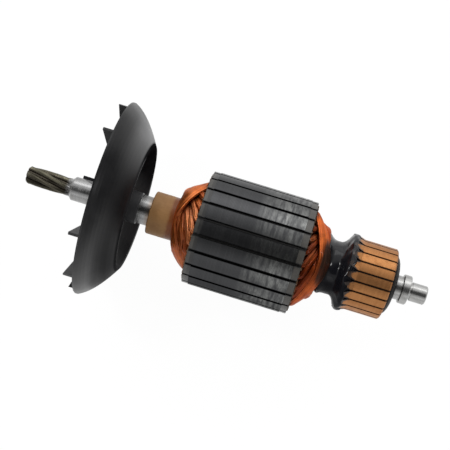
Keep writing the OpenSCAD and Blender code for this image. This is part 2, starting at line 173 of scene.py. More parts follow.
def tube_caps(rings, points):
    """Triangles that close a tube's two ends, to the two middle points that follow its rings."""
    here = np.arange(points)
    after = (here + 1) % points
    middle = np.full(points, rings * points)
    last = (rings - 1) * points
    start_cap = np.stack([middle, after, here], -1)
    end_cap = np.stack([middle + 1, last + here, last + after], -1)
    return np.concatenate([start_cap, end_cap])


def mesh_piece(name, vertices, quads, triangles, material, attributes=None):
    """A smooth-shaded piece from vertices in millimetres, quads and triangles, riding on the armature."""
    corners = np.concatenate([quads.ravel(), triangles.ravel()]).astype(np.int32)
    sizes = np.concatenate([np.full(len(quads), 4), np.full(len(triangles), 3)]).astype(np.int32)
    mesh = bpy.data.meshes.new(name)
    mesh.vertices.add(len(vertices))
    mesh.vertices.foreach_set("co", (vertices * MM).astype(np.float32).ravel())
    mesh.loops.add(len(corners))
    mesh.loops.foreach_set("vertex_index", corners)
    mesh.polygons.add(len(sizes))
    mesh.polygons.foreach_set("loop_start", np.concatenate([[0], np.cumsum(sizes)[:-1]]).astype(np.int32))
    mesh.polygons.foreach_set("loop_total", sizes)
    mesh.polygons.foreach_set("use_smooth", np.ones(len(sizes), bool))
    for key, values in (attributes or {}).items():
        layer = mesh.attributes.new(key, "FLOAT", "POINT")
        layer.data.foreach_set("value", values.astype(np.float32))
    mesh.update(calc_edges=True)
    mesh.validate()
    piece = bpy.data.objects.new(name, mesh)
    bpy.context.scene.collection.objects.link(piece)
    mesh.materials.append(material)
    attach(piece, "root")
    return piece


# ---------- end windings ----------

# Each coil lies in two slots this many apart. The coils are wound in pairs, opposite each other.
COIL_SPAN = 10
COIL_STEPS = 11
FIRST_SLOT = -3
# Coils wound one after the other lie together in pairs: each is moved this share of a slot pitch
PAIR_SHIFT = 0.3
# The first bundles have this share of the usual width. They widen from one coil on, and the last are lifted.
FIRST_WIDTH = 0.76
WIDENING_FROM = 14
LIFTED_FROM = 19
# Wires that show round a bundle, and points round each of them
BUNDLE_WIRES = 9
WIRE_POINTS = 6
PATH_POINTS = 56
# Half the width and half the height of a bundle between its slots, and inside them
FREE_W, FREE_H = 1.9, 1.0
SLOT_W, SLOT_H = 1.45, 1.5
# The lengths from its slot over which a bundle spreads to that shape and rises to its place
SPREAD_LENGTH, RISE_LENGTH = 3.5, 5.0
# Bundles are pressed together to this share of their size
PRESSED = 0.9
# The conductors in a slot: the radius of their middle, and half their width and height
CONDUCTOR_R = 15.8
CONDUCTOR_W, CONDUCTOR_H = 0.95, 3.2


def coil_order():
    """The start slot, end slot, layer in each of the two, and step of every coil, the first wound first."""
    filled = np.zeros(SLOTS, int)
    coils = []
    for step in range(COIL_STEPS):
        for start in (step + FIRST_SLOT, step + FIRST_SLOT + COIL_STEPS):
            a, b = start % SLOTS, (start + COIL_SPAN) % SLOTS
            coils.append((start, start + COIL_SPAN, filled[a], filled[b], step))
            filled[a] += 1
            filled[b] += 1
    return coils


class Head:
    """One end of the winding: the inner curve on which its coils are laid, and the outer one that they reach.

    The coils reach past the outer curve on the +Y side and short of it on the other, by the share swell.
    The last coils leave their slots higher than the rest, by last_lift, and spread to last_width times
    a bundle's usual width. Layers are the heights of the lower and the upper coil as they leave a slot.
    """

    def __init__(self, face, outward, inner, outer, layers, last_lift, last_width, sweep, swell, seed):
        self.face, self.outward, self.sweep, self.swell = face, outward, sweep, swell
        self.last_lift, self.last_width = last_lift, last_width
        self.inner, self.outer, self.layers = inner, outer, layers
        self.random = np.random.default_rng(seed)

    def depth(self, s):
        """The distance between the two curves at s."""
        return np.linalg.norm(curve_through(*self.outer, s) - curve_through(*self.inner, s), axis=-1)

    def place(self, s, angle, height):
        """The point at s, an angle and a height over the inner curve, and the way out of the head there."""
        inner = curve_through(*self.inner, s)
        outer = curve_through(*self.outer, s)
        step = 1e-3
        along = curve_through(*self.outer, np.asarray(s) + step) - outer
        normal = unit(np.stack([along[..., 1], -along[..., 0]], -1))
        rh = inner + unit(outer - inner) * np.asarray(height)[..., None]
        point = rh[..., :1] * direction(angle)
        point[..., 0] = self.face + self.outward * rh[..., 1]
        out = normal[..., :1] * direction(angle)
        out[..., 0] = self.outward * normal[..., 1]
        return point, out


def settle(values, passes):
    """A row of values smoothed by repeated averages of each with its neighbours, its ends kept."""
    values = values.copy()
    for _ in range(passes):
        values[1:-1] = (values[:-2] + 2 * values[1:-1] + values[2:]) / 4
    return values


def lay_coils(head):
    """Lays the coils one on top of another, and then draws them down to the outer curve.

    A coil leaves its slot, leans over to the far end and comes back to its other slot, as
    sweep sin(pi t) + (1 - sweep)(1 - cos(2 pi t)) / 2. The height under it is read from a map of
    the head, and the map is then raised by the coil's round back. At each s the heights are then
    scaled so that four fifths of the map lie under the outer curve.
    """
    rows, columns = 40, 260
    row_s = np.linspace(0, 1, rows)
    map_s, map_angle = np.meshgrid(row_s, np.linspace(0, 2 * math.pi, columns, endpoint=False), indexing="ij")
    cells = head.place(map_s, map_angle, 0.5 * head.depth(map_s))[0].reshape(-1, 3)
    height = np.zeros(len(cells))
    t = np.linspace(0, 1, PATH_POINTS)
    laid = []
    for count, (start, end, layer_a, layer_b, step) in enumerate(coil_order()):
        widening = smooth_step((count - WIDENING_FROM) / 5)
        wide = FIRST_WIDTH + (head.last_width - FIRST_WIDTH) * widening + head.random.uniform(-0.1, 0.1)
        reach = 0.9 + 0.1 * abs(1 - 2 * step / (COIL_STEPS - 1)) + head.random.uniform(-0.03, 0.03)
        lean = head.sweep * np.sin(math.pi * t) + (1 - head.sweep) * (1 - np.cos(2 * math.pi * t)) / 2
        wander = 0.03 * np.sin(math.pi * t) * np.sin(2 * math.pi * (1.5 * t + head.random.random()))
        s = np.clip(reach * lean + wander, 0, 1)
        lean_in = PAIR_SHIFT * (1 if step % 2 else -1) * np.sin(math.pi * t) ** 0.6
        angle = (start + (end - start) * t + lean_in) * SLOT_PITCH
        ground = head.place(s, angle, 0.5 * head.depth(s))[0]
        near_slot = np.minimum(t, 1 - t) * COIL_SPAN * SLOT_PITCH * head.inner[0][0]
        spread = smooth_step(near_slot / SPREAD_LENGTH)
        half_w = SLOT_W + (FREE_W * wide - SLOT_W) * spread
        half_h = SLOT_H + (FREE_H - SLOT_H) * spread
        gap = np.linalg.norm(cells[:, None, :] - ground[None, :, :], axis=-1)
        under_it = gap < PRESSED * half_w[None, :]
        under = np.where(under_it, height[:, None], 0).sum(0) / np.maximum(under_it.sum(0), 1)
        centre = settle(PRESSED * under, 5) + PRESSED * half_h
        nearest = gap.argmin(1)
        nearest_gap = gap[np.arange(len(cells)), nearest] / half_w[nearest]
        back = centre[nearest] + half_h[nearest] * np.sqrt(np.clip(1 - nearest_gap**2, 0, 1))
        height = np.where(nearest_gap < 1, np.maximum(height, back), height)
        seat = np.where(t < 0.5, head.layers[layer_a], head.layers[layer_b])
        seat = seat + head.last_lift * (count >= LIFTED_FROM)
        laid.append((s, angle, centre, seat, smooth_step(near_slot / RISE_LENGTH), half_w, half_h))
    full = settle(np.percentile(height.reshape(rows, columns), 80, axis=1), 4)
    coils = []
    for s, angle, centre, seat, free, half_w, half_h in laid:
        room = np.maximum(head.depth(s) * (1 + head.swell * np.sin(angle)) - PRESSED * half_h, 0.2)
        centre = centre / np.maximum(np.interp(s, row_s, full) - PRESSED * half_h, 0.5) * room
        centre = settle(seat + (centre - seat) * free, 5)
        path, out = head.place(s, angle, centre)
        share = centre / np.maximum(head.depth(s), 0.5) * (0.75 + 0.25 * free)
        coils.append((path, out, half_w, half_h, share, head.random.random()))
    return coils


def bundle(head, path, out, half_w, half_h, share, tone):
    """A coil as a tube whose section is an oval with a ridge for each wire, closed at both ends.

    The section at a point of the path is half_w cos(a) across and half_h sin(a) outwards, times
    1 - 0.11 (1 - |sin(wires a / 2 + twist)|)^1.5 plus a slow wave of 0.07. Each end runs straight
    into its slot.
    """
    # How far into the slot the points lie that are added at each end
    inside = np.array([2.2, 1.2, 0.4])
    lead_in = path[:1] - np.array([[head.outward, 0, 0]]) * inside[:, None]
    lead_out = path[-1:] - np.array([[head.outward, 0, 0]]) * inside[::-1][:, None]
    path = np.concatenate([lead_in, path, lead_out])
    for _ in range(3):
        path[2:-2] = (path[1:-3] + 2 * path[2:-2] + path[3:-1]) / 4
    pad = len(inside)
    out = np.concatenate([np.repeat(out[:1], pad, 0), out, np.repeat(out[-1:], pad, 0)])
    half_w, half_h, share = (np.pad(row, pad, "edge") for row in (half_w, half_h, share))
    tangent = unit(np.gradient(path, axis=0))
    across = unit(np.cross(tangent, out))
    up = np.cross(across, tangent)
    around = BUNDLE_WIRES * WIRE_POINTS
    a = np.linspace(0, 2 * math.pi, around, endpoint=False)[None, :]
    t = np.linspace(0, 1, len(path))[:, None]
    twist = 1.6 * t + 0.4 * np.sin(7 * t + head.random.uniform(0, 6)) + head.random.uniform(0, 6)
    ridge = np.abs(np.sin(BUNDLE_WIRES * a / 2 + twist))
    lift = 0.07 * np.sin(2 * a + 8 * t + head.random.uniform(0, 6)) * np.sin(math.pi * t)
    size = 1 - 0.11 * (1 - ridge) ** 1.5 + lift
    ring = (
        path[:, None, :]
        + (half_w[:, None] * np.cos(a) * size)[..., None] * across[:, None, :]
        + (half_h[:, None] * np.sin(a) * size)[..., None] * up[:, None, :]
    )
    vertices = np.concatenate([ring.reshape(-1, 3), path[:1], path[-1:]])
    rings = len(path)
    crown = np.concatenate([ridge.ravel(), [0.0, 0.0]])
    # The share kept for the material is lowered on the sides and underside of each bundle, so that they get
    # painted shade.
    shown = np.concatenate([(share[:, None] + 0.3 * np.sin(a) - 0.2).ravel(), [0.0, 0.0]])
    tone = np.full(len(vertices), tone)
    return vertices, grid_faces(rings, around), tube_caps(rings, around), crown, shown, tone


def faces_outward(vertices, quads):
    """True if the quads wind outwards: the volume under them is positive."""
    a, b, c, d = (vertices[quads[:, i]] for i in range(4))
    volume = np.einsum("ij,ij->i", a, np.cross(b, c)) + np.einsum("ij,ij->i", a, np.cross(c, d))
    return volume.sum() > 0


def join_parts(parts):
    """Several (vertices, quads, triangles, crown, share, tone) as one, each turned to face outwards.

    Returns vertices, quads, triangles and a dict of the three values.
    """
    vertices, quads, triangles, values = [], [], [], []
    first = 0
    for part_vertices, part_quads, part_triangles, *part_values in parts:
        centred = part_vertices - part_vertices.mean(0)
        turn = 1 if faces_outward(centred, part_quads) else -1
        vertices.append(part_vertices)
        quads.append(part_quads[:, ::turn] + first)
        triangles.append(part_triangles[:, ::turn] + first)
        values.append(part_values)
        first += len(part_vertices)
    named = dict(zip(("crown", "share", "tone"), (np.concatenate(rows) for rows in zip(*values))))
    return np.concatenate(vertices), np.concatenate(quads), np.concatenate(triangles), named


def turned_part(profile):
    """A closed profile of (radius, station) carried round the shaft."""
    points = 120
    profile = np.array(profile)
    angle = np.linspace(0, 2 * math.pi, points, endpoint=False)
    ring = profile[:, None, :1] * direction(angle)[None]
    ring[..., 0] = profile[:, 1][:, None]
    vertices = ring.reshape(-1, 3)
    quads = closed_grid_faces(len(profile), points)
    # Its crown, share and tone of 0 make the wire material darkest on it, as painted shade deep in the head.
    return vertices, quads, np.zeros((0, 3), int), *np.zeros((3, len(vertices)))


def end_winding(name, head, material):
    """One end of the winding: the core of inner turns and the coils that are laid over it."""
    rh = curve_through(*head.inner, np.linspace(0, 1, 12))
    profile = [(BORE_R, head.face + head.outward * 0.8)]
    profile += [(r, head.face + head.outward * max(h, 0.8)) for r, h in rh]
    profile += [(BORE_R, head.face + head.outward * rh[-1, 1])]
    parts = [turned_part(profile)]
    parts += [bundle(head, *coil) for coil in lay_coils(head)]
    vertices, quads, triangles, values = join_parts(parts)
    return mesh_piece(name, vertices, quads, triangles, material, values)


def rounded(x):
    """|x|^0.6 with the sign of x, which makes an oval's cosine and sine those of a rounded bar."""
    return np.sign(x) * np.abs(x) ** 0.6


def slot_copper(material):
    """The coil sides in the slots: a rounded bar in each, from one end of the stack to the other."""
    points = 20
    a = np.linspace(0, 2 * math.pi, points, endpoint=False)
    across = CONDUCTOR_W * rounded(np.cos(a))
    outwards = CONDUCTOR_R + CONDUCTOR_H * rounded(np.sin(a))
    stations = np.array([FRONT_FACE + 0.5, REAR_FACE - 0.5])
    parts = []
    for slot_index in range(SLOTS):
        out = direction(slot_index * SLOT_PITCH)
        side = np.cross(out, [1.0, 0, 0])
        section = outwards[:, None] * out + across[:, None] * side
        ring = section[None] + np.array([[[1.0, 0, 0]]]) * stations[:, None, None]
        middle = np.array([[station, 0, 0] + CONDUCTOR_R * out for station in stations])
        vertices = np.concatenate([ring.reshape(-1, 3), middle])
        # A crown, share and tone of 0.3 make the wire material dark on them, as painted shade in the slots.
        values = np.full((3, len(vertices)), 0.3)
        parts.append((vertices, grid_faces(2, points), tube_caps(2, points), *values))
    vertices, quads, triangles, values = join_parts(parts)
    return mesh_piece("slot_conductors", vertices, quads, triangles, material, values)


# ---------- resin over the leads ----------


def resin_over_leads(material):
    """The resin between the rear end turns and the hooks, as a closed grid of profile by angle.

    The profile runs out of the end turns, down to a neck, up to a lip over the hooks and into
    the pockets between them. Its radius is raised by lumps, which are sums of sines of the
    station and the angle, the lip's edge wanders along the shaft, and the start leans by 0.8 sin(angle)
    and is lower by 1.2 (1 - sin(angle)).
    """
    points = 360
    angle = np.linspace(0, 2 * math.pi, points, endpoint=False)[None, :]
    stations = RESIN_PROFILE[:, 0][:, None]
    radii = RESIN_PROFILE[:, 1][:, None]
    loose = RESIN_PROFILE[:, 2][:, None]
    random = np.random.default_rng(5)
    lumps = np.zeros((len(RESIN_PROFILE), points))
    for waves in (2, 3, 5, 7, 11, 16):
        slope, turn, size = random.uniform(-0.5, 0.5), random.uniform(0, 6), 0.5 / waves**0.5
        lumps += size * np.sin(waves * angle + waves * slope * (stations - BARS_START) * 0.6 + turn)
    edge = np.zeros((1, points))
    for waves in (4, 7, 11, 18):
        edge += 0.3 * np.sin(waves * angle + random.uniform(0, 6))
    at_lip = smooth_step((stations - BARS_START + 1.0) / 1.2)
    at_lip = at_lip * smooth_step((BARS_START + POCKET - stations) / 1.1)
    at_start = 1 - smooth_step((stations - REAR_FACE - 7.0) / 2.5)
    x = stations + LUMP_SHIFT * loose * np.roll(lumps, 31, axis=1) + 0.8 * at_lip * edge
    x = x - 0.8 * at_start * np.sin(angle)
    r = radii + LUMP_HEIGHT * loose * lumps - 1.2 * at_start * (1 - np.sin(angle))
    ring = r[..., None] * direction(np.broadcast_to(angle, r.shape))
    ring[..., 0] = x
    inner = [(TRACK_R + 0.02, BARS_START), (TRACK_R - 2.6, BARS_START)]
    inner += [(TRACK_R - 2.6, BARS_START - 1.0), (BORE_R, BARS_START - 1.0)]
    inner += [(BORE_R, RESIN_PROFILE[0, 0])]
    rows = [radius * direction(angle) + [station, 0, 0] for radius, station in inner]
    ring = np.concatenate([ring, *rows])
    quads = closed_grid_faces(len(ring), points)
    vertices = ring.reshape(-1, 3)
    if not faces_outward(vertices - vertices.mean(0), quads):
        quads = quads[:, ::-1]
    return mesh_piece("resin_over_leads", vertices, quads, np.zeros((0, 3), int), material)


# ---------- materials ----------


class Tree:
    """Adds nodes to a material or a node group."""

    def __init__(self, node_tree):
        self.nodes = node_tree.nodes
        self.links = node_tree.links

    def put(self, socket, value):
        """Links an output to a socket, or sets the socket's own value."""
        if isinstance(value, bpy.types.NodeSocket):
            self.links.new(value, socket)
        else:
            socket.default_value = value

    def node(self, kind, values=None, **settings):
        """A node with its own settings, and values or links for its inputs."""
        made = self.nodes.new("ShaderNode" + kind)
        for key, value in settings.items():
            setattr(made, key, value)
        for key, value in (values or {}).items():
            self.put(made.inputs[key], value)
        return made

    def math(self, operation, *values, clamp=False):
        """One arithmetic step on one to three values."""
        return self.node("Math", dict(enumerate(values)), operation=operation, use_clamp=clamp).outputs[0]

    def times(self, a, b):
        """The product of two values."""
        return self.math("MULTIPLY", a, b)

    def length(self, a, b):
        """The square root of a^2 + b^2."""
        return self.math("SQRT", self.math("ADD", self.times(a, a), self.times(b, b)))

    def between(self, value, low, high, start=0.0, end=1.0):
        """A smooth change from start to end as value goes from low to high."""
        values = {"Value": value, "From Min": low, "From Max": high, "To Min": start, "To Max": end}
        return self.node("MapRange", values, interpolation_type="SMOOTHSTEP").outputs[0]

    def mix_value(self, factor, a, b):
        """One value blended into another."""
        return self.node("Mix", {0: factor, 2: a, 3: b}).outputs[0]

    def mix(self, factor, a, b, blend="MIX"):
        """One colour blended into another."""
        made = self.nodes.new("ShaderNodeMix")
        made.data_type = "RGBA"
        made.blend_type = blend
        for index, value in ((0, factor), (6, a), (7, b)):
            self.put(made.inputs[index], value)
        return made.outputs[2]

    def lay(self, colour, over, mask, most):
        """A colour laid over another where a mask is 1, covering it by at most the given share."""
        return self.mix(self.times(mask, most), colour, over)

    def group(self, group, values=None):
        """A placed node group with its named inputs set."""
        made = self.nodes.new("ShaderNodeGroup")
        made.node_tree = group
        for key, value in (values or {}).items():
            self.put(made.inputs[key], value)
        return made.outputs

    def bump(self, height, strength, distance):
        """A normal from a height, with the height's full range as a distance in millimetres."""
        values = {"Height": height, "Strength": strength, "Distance": distance * MM}
        return self.node("Bump", values).outputs[0]


def noise(tree, place, scale, detail=3.0, roughness=0.5, stretch=None):
    """Smooth noise from 0 to 1 over a piece in millimetres, with its axes scaled by stretch."""
    vector = place["Millimetres"]
    if stretch:
        vector = tree.node("Mapping", {"Vector": vector, "Scale": stretch}).outputs[0]
    values = {"Vector": vector, "Scale": scale, "Detail": detail, "Roughness": roughness}
    return tree.node("TexNoise", values).outputs[0]


def new_group(name, inputs, outputs):
    """An empty node group with named sockets. Returns the group, its tree, its inputs and its output node."""
    group = bpy.data.node_groups.new(name, "ShaderNodeTree")
    for key, kind, default in inputs:
        socket = group.interface.new_socket(key, in_out="INPUT", socket_type="NodeSocket" + kind)
        if default is not None:
            socket.default_value = default
    for key, kind in outputs:
        group.interface.new_socket(key, in_out="OUTPUT", socket_type="NodeSocket" + kind)
    tree = Tree(group)
    source = group.nodes.new("NodeGroupInput")
    result = group.nodes.new("NodeGroupOutput")
    return group, tree, source.outputs, result.inputs


def shaft_place_group():
    """Where a point is: along the shaft, to its +Y side and away from it in millimetres, and its angle."""
    group, tree, given, result = new_group(
        "shaft_place",
        [("Position", "Vector", None)],
        [(key, "Float") for key in ("Along", "Side", "Radius", "Angle")] + [("Millimetres", "Vector")],
    )
    scaled = tree.node("VectorMath", {0: given["Position"], 3: 1 / MM}, operation="SCALE").outputs[0]
    part = tree.node("SeparateXYZ", {0: scaled}).outputs
    tree.put(result["Along"], part[0])
    tree.put(result["Side"], part[1])
    tree.put(result["Radius"], tree.length(part[1], part[2]))
    tree.put(result["Angle"], tree.math("ARCTAN2", part[1], tree.times(part[2], -1.0)))
    tree.put(result["Millimetres"], scaled)
    return group


def turned_lines_group():
    """Fine rings left by turning: noise that changes quickly along the shaft and slowly round it."""
    group, tree, given, result = new_group(
        "turned_lines",
        [("Millimetres", "Vector", None), ("Lines", "Float", 6.0)],
        [("Height", "Float"), ("Streak", "Float")],
    )
    height = noise(tree, given, given["Lines"], 4.0, stretch=(1.0, 0.02, 0.02))
    broad = noise(tree, given, 0.9, 2.0, stretch=(1.0, 0.02, 0.02))
    tree.put(result["Height"], height)
    tree.put(result["Streak"], tree.math("MULTIPLY_ADD", height, 0.6, tree.times(broad, 0.4)))
    return group


def patches_group():
    """Soft-edged patches of noise: dirt, handling marks and places where varnish is thick."""
    group, tree, given, result = new_group(
        "patches",
        [
            ("Millimetres", "Vector", None),
            ("Scale", "Float", 0.3),
            ("Cover", "Float", 0.5),
            ("Edge", "Float", 0.1),
        ],
        [("Mask", "Float")],
    )
    cloud = noise(tree, given, given["Scale"], 6.0, 0.6)
    level = tree.math("SUBTRACT", 1.0, given["Cover"])
    low = tree.math("SUBTRACT", level, given["Edge"])
    high = tree.math("ADD", level, given["Edge"])
    tree.put(result["Mask"], tree.between(cloud, low, high))
    return group


def pitch_group():
    """How far a point is from the nearest of the slots or gaps round the shaft, in millimetres."""
    group, tree, given, result = new_group(
        "pitch_place",
        [("Angle", "Float", 0.0), ("Radius", "Float", 1.0), ("Phase", "Float", 0.0)],
        [("Distance", "Float"), ("Random", "Float")],
    )
    turned = tree.math("SUBTRACT", given["Angle"], given["Phase"])
    pitches = tree.math("DIVIDE", turned, SLOT_PITCH)
    nearest = tree.math("ROUND", pitches)
    offset = tree.math("ABSOLUTE", tree.math("SUBTRACT", pitches, nearest))
    offset = tree.times(offset, SLOT_PITCH)
    tree.put(result["Distance"], tree.times(offset, given["Radius"]))
    whole = tree.math("FLOOR", pitches)
    tree.put(result["Random"], tree.node("TexWhiteNoise", {"W": whole}, noise_dimensions="1D").outputs[0])
    return group


PLACE = shaft_place_group()
LINES = turned_lines_group()
PATCHES = patches_group()
PITCH = pitch_group()


def new_material(name, **shader):
    """A material with a Principled BSDF. Returns it, its tree, its shader's inputs and the point's place."""
    material = bpy.data.materials.new(name)
    material.use_nodes = True
    material.node_tree.nodes.clear()
    tree = Tree(material.node_tree)
    surface = tree.node("BsdfPrincipled", {key.replace("_", " "): value for key, value in shader.items()})
    tree.node("OutputMaterial", {"Surface": surface.outputs[0]})
    place = tree.group(PLACE, {"Position": tree.node("TexCoord").outputs["Object"]})
    return material, tree, surface.inputs, place


def plain_place(tree):
    """A point's X, Y and Z in millimetres by plain nodes, for the specular sockets, which no group feeds."""
    position = tree.node("TexCoord").outputs["Object"]
    scaled = tree.node("VectorMath", {0: position, 3: 1 / MM}, operation="SCALE").outputs[0]
    return tree.node("SeparateXYZ", {0: scaled}).outputs


def patches(tree, place, scale, cover, edge):
    """A mask of soft-edged patches that cover about the given share of the surface."""
    values = {"Millimetres": place["Millimetres"], "Scale": scale, "Cover": cover, "Edge": edge}
    return tree.group(PATCHES, values)["Mask"]


def pitch_place(tree, place, phase=0.0):
    """How far a point is from the nearest slot or gap, and a random value for the stretch between two."""
    return tree.group(PITCH, {"Angle": place["Angle"], "Radius": place["Radius"], "Phase": phase})


def steel_material():
    """Ground and turned steel, brighter at the collar and dark at the pinion, with painted shade in its tooth
    spaces and on its -Y side.
    """
    material, tree, shader, place = new_material("ground_steel", Metallic=1.0)
    lines = tree.group(LINES, {"Millimetres": place["Millimetres"], "Lines": 5.0})
    stain = patches(tree, place, 0.35, 0.42, 0.16)
    colour = tree.mix(lines["Streak"], (0.20, 0.20, 0.20, 1), (0.42, 0.42, 0.42, 1))
    bright = tree.between(place["Along"], COLLAR_START - 2.5, COLLAR_START - 0.5)
    colour = tree.lay(colour, (0.43, 0.43, 0.42, 1), bright, 0.7)
    colour = tree.lay(colour, (0.16, 0.15, 0.135, 1), stain, 0.35)
    varnish = tree.between(place["Along"], SLEEVE_START - 2.2, SLEEVE_START - 0.2)
    varnish = tree.times(varnish, tree.between(place["Along"], STACK_START, STACK_START - 1.0))
    colour = tree.lay(colour, (0.20, 0.135, 0.09, 1), varnish, 0.6)
    pinion = tree.between(place["Along"], SEAT_START + 1.0, SEAT_START - 0.8)
    # Painted shade: the tooth spaces are darker than the teeth.
    root = tree.between(place["Radius"], TOOTH_R, ROOT_R)
    tooth = tree.mix(root, (0.110, 0.103, 0.074, 1), (0.060, 0.052, 0.040, 1))
    tooth = tree.lay(tooth, (0.07, 0.062, 0.048, 1), stain, 0.5)
    # Painted shade: the pinion is darker on its -Y side.
    shaded_underside = tree.between(place["Side"], 1.0, -2.0)
    tooth = tree.lay(tooth, (0.040, 0.034, 0.027, 1), shaded_underside, 0.5)
    colour = tree.mix(pinion, colour, tooth)
    tree.put(shader["Base Color"], colour)
    rough = tree.math("MULTIPLY_ADD", lines["Streak"], 0.16, 0.16)
    rough = tree.math("ADD", rough, tree.times(pinion, 0.16))
    tree.put(shader["Roughness"], tree.math("MULTIPLY_ADD", stain, 0.10, rough))
    tree.put(shader["Normal"], tree.bump(lines["Height"], 0.35, 0.02))
    return material


def fan_material():
    """Black moulded plastic with a soft gloss: a fine grain and faint dust, with painted sheen and highlights
    on the +Y side of the back and at the hub, and painted shade in the recess and under the rim.
    """
    material, tree, shader, place = new_material("black_plastic", Specular_IOR_Level=0.22)
    dust = patches(tree, place, 0.12, 0.5, 0.2)
    grain = noise(tree, place, 3.2, 4.0)
    cloud = noise(tree, place, 0.07)
    colour = tree.mix(cloud, (0.0035, 0.0035, 0.0042, 1), (0.0075, 0.0075, 0.0085, 1))
    colour = tree.lay(colour, (0.08, 0.08, 0.08, 1), dust, 0.06)
    rough = tree.math("MULTIPLY_ADD", cloud, 0.12, 0.26)
    along, side, up = plain_place(tree)
    # The curved back, the part of it by the rim, and all that lies ahead of it
    back = tree.between(along, FAN_END - 9.0, FAN_END - 4.0)
    rim_back = tree.between(along, FAN_END - 9.5, FAN_END - 6.5)
    ahead = tree.math("SUBTRACT", 1.0, back)
    # Painted sheen: the back is made glossier on its +Y side and the part ahead of it on its -Y side, and
    # painted shade makes the back by the rim less glossy on its -Y side.
    sheen_upper_side = tree.times(tree.between(side, 2.0, 26.0), back)
    dimmed_underside = tree.times(tree.between(side, -10.0, -28.0), rim_back)
    front = tree.times(tree.between(side, 1.0, -14.0), ahead)
    gloss = tree.between(along, FAN_END - 14.0, FAN_END - 8.0, 0.12, 0.22)
    gloss = tree.math("MULTIPLY_ADD", sheen_upper_side, 0.7, gloss)
    # More painted sheen towards the +Y edge.
    gloss = tree.math("MULTIPLY_ADD", tree.between(side, 7.0, 15.0, 0.0, 0.12), ahead, gloss)
    gloss = tree.math("MULTIPLY_ADD", dimmed_underside, -0.17, gloss)
    gloss = tree.math("MULTIPLY_ADD", front, 0.38, gloss)
    gloss = tree.math("ADD", gloss, tree.between(side, 25.0, 35.0, 0.0, 0.35))
    # Painted shade makes the recess dull, and painted sheen makes its hub glossy.
    radius = tree.length(side, up)
    recess = tree.between(radius, RECESS_R + 1.4, RECESS_R + 0.6)
    hub = tree.between(radius, HUB_R, HUB_R - 1.5)
    inside = tree.math("MULTIPLY_ADD", hub, 1.4, tree.between(side, 16.0, 9.0, 0.0, 0.1))
    gloss = tree.mix_value(recess, gloss, tree.times(gloss, inside))
    tree.put(shader["Specular IOR Level"], gloss)
    # Painted highlight: the back is paler towards its +Y side.
    pale = tree.times(tree.between(side, 13.0, 37.0, 0.0, 0.85), back)
    # Painted light: the recess is paler near its middle.
    recess_floor_light = tree.between(side, 14.0, 8.0, 0.02, 0.14)
    recess_floor_light = tree.math("MINIMUM", recess_floor_light, tree.between(side, -8.0, -14.0, 0.12, 0.02))
    pale = tree.mix_value(recess, pale, recess_floor_light)
    # Painted highlight: the hub is paler.
    pale = tree.math("MAXIMUM", pale, tree.times(hub, 0.3))
    tree.put(shader["Base Color"], tree.mix(pale, colour, (0.13, 0.13, 0.135, 1)))
    rough = tree.math("MULTIPLY_ADD", recess, 0.04, rough)
    rough = tree.math("MULTIPLY_ADD", dimmed_underside, 0.2, rough)
    tree.put(shader["Roughness"], tree.math("MULTIPLY_ADD", dust, 0.08, rough))
    tree.put(shader["Normal"], tree.bump(grain, 0.2, 0.02))
    return material


def sleeve_material():
    """Wrapped fibre tube, stained by varnish towards the stack."""
    material, tree, shader, place = new_material("fibre_tube", Specular_IOR_Level=0.2)
    fibre = noise(tree, place, 2.4, 5.0, 0.6, (0.25, 1.0, 1.0))
    wrap = noise(tree, place, 1.1, 2.0, 0.5, (1.0, 0.06, 0.06))
    wet = noise(tree, place, 0.35)
    colour = tree.mix(fibre, (0.29, 0.150, 0.056, 1), (0.44, 0.250, 0.104, 1))
    colour = tree.lay(colour, (0.24, 0.118, 0.044, 1), wrap, 0.35)
    soaked = patches(tree, place, 0.22, 0.45, 0.2)
    colour = tree.lay(colour, (0.21, 0.10, 0.036, 1), soaked, 0.45)
    edge = tree.math("MULTIPLY_ADD", wet, 1.4, SLEEVE_START + 6.5)
    varnished = tree.between(tree.math("SUBTRACT", place["Along"], edge), -0.6, 0.9)
    deep = tree.between(place["Along"], SLEEVE_START + 6.0, SLEEVE_START + 9.0, 0.7, 1.0)
    colour = tree.mix(tree.times(varnished, deep), colour, (0.19, 0.062, 0.020, 1))
    tree.put(shader["Base Color"], colour)
    tree.put(shader["Roughness"], tree.between(varnished, 0.0, 1.0, 0.5, 0.26))
    tree.put(shader["Normal"], tree.bump(tree.math("ADD", fibre, wrap), 0.3, 0.05))
    return material


